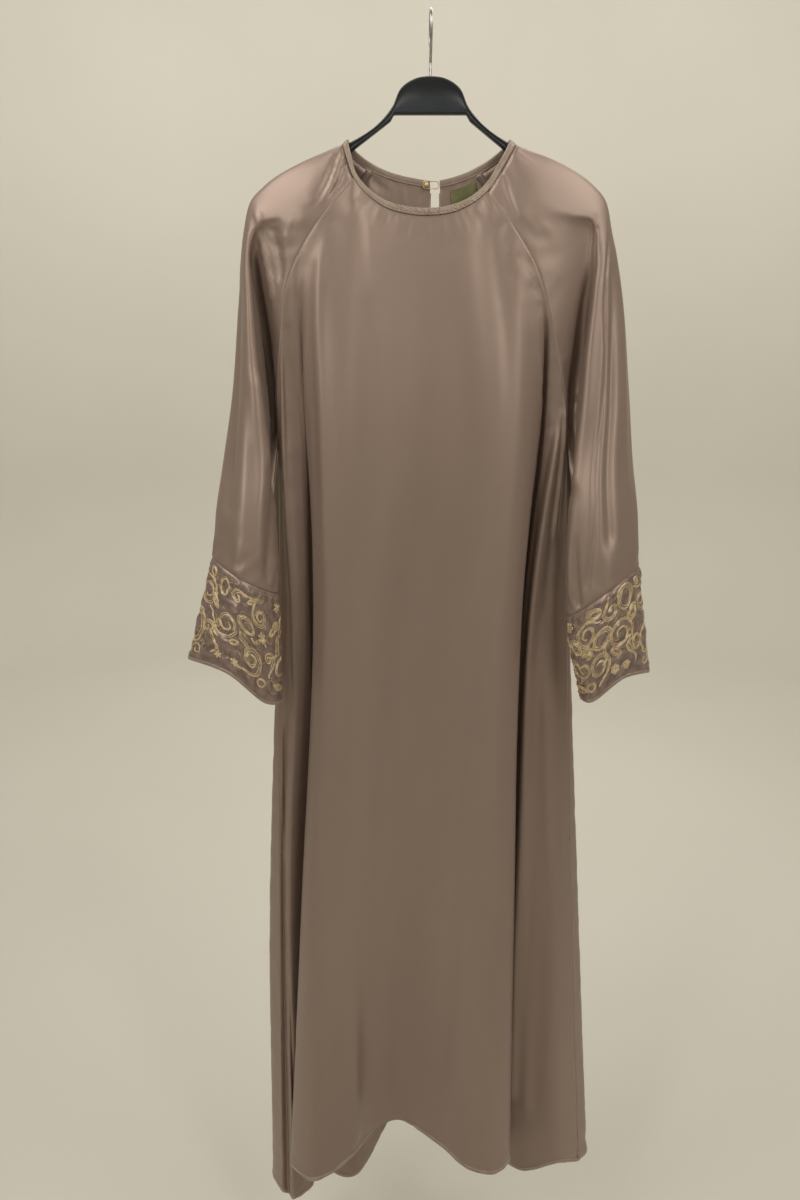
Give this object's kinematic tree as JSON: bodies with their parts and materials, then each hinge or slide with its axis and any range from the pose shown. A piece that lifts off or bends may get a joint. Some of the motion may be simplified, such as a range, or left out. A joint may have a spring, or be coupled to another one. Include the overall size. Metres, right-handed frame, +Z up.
{
  "type": "abaya on hanger",
  "caption": "Full-length satin abaya with raglan sleeves, embroidered cuffs and a back neck slit, hanging from a moulded hanger with a wire hook.",
  "frame": {"origin": "inside of the hanger hook's bend, at its highest point, where the hook rests on what carries it", "axes": "+Z up, -Y towards the front of the garment, +X to the right of someone who faces the front"},
  "size_m": [0.5973, 0.1926, 1.6712],
  "materials": {
    "satin": "taupe satin with a soft sheen",
    "cuff_cloth": "puckered taupe satin under gold couched embroidery",
    "binding": "narrow satin bias binding",
    "gold_thread": "gold metallic thread",
    "label_cloth": "woven olive label, bare",
    "hanger_plastic": "satin black moulded plastic",
    "hook_steel": "bright drawn wire"
  },
  "bodies": {
    "root": {"front_panel": "satin", "back_panel": "satin", "sleeve_left": "satin", "sleeve_right": "satin", "cuff_left": "cuff_cloth", "cuff_right": "cuff_cloth", "neck_binding": "binding", "keyhole_button": "gold_thread", "button_loop": "gold_thread", "neck_label": "label_cloth", "hanger_body": "hanger_plastic", "hanger_hook": "hook_steel"}
  },
  "joints": []
}
